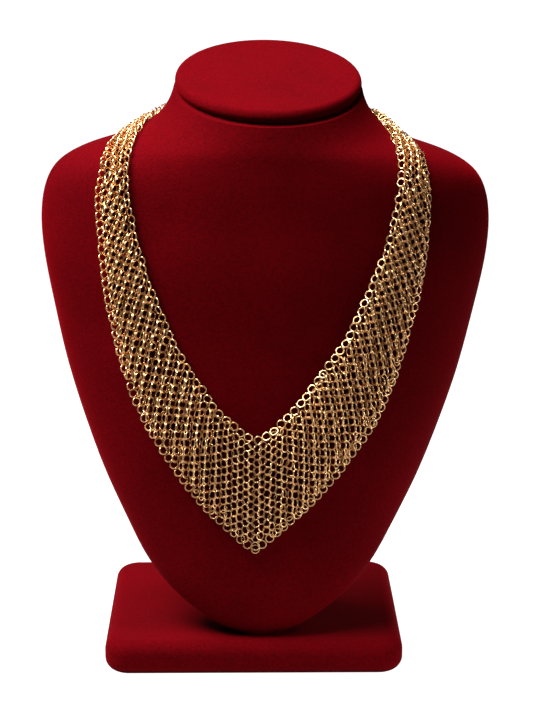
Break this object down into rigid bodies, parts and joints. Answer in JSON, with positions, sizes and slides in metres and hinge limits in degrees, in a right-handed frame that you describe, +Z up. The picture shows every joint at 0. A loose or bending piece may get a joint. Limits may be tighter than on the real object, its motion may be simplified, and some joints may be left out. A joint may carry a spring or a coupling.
{
  "type": "mesh necklace on neck bust",
  "caption": "Ring-mesh bib necklace with a deep V front and a narrow back strip, closed by a clasp, on a velvet neck bust with a rounded slab base.",
  "frame": {"origin": "middle of the base's flat underside", "axes": "+Z up; the front of the bust faces -Y; +X is to the right seen from the front"},
  "size_m": [0.2008, 0.112, 0.2688],
  "materials": {
    "base_velvet": "deep red velvet over board",
    "post_velvet": "deep red velvet over wood",
    "bust_velvet": "deep red velvet, short nap",
    "cap_velvet": "deep red velvet, short nap",
    "gold_mesh": "gold plated rings, polished",
    "gold_clasp": "gold plated, polished"
  },
  "bodies": {
    "root": {"base": "base_velvet", "post": "post_velvet", "bust": "bust_velvet", "neck_cap": "cap_velvet", "mesh_band": "gold_mesh", "clasp": "gold_clasp"}
  },
  "joints": []
}
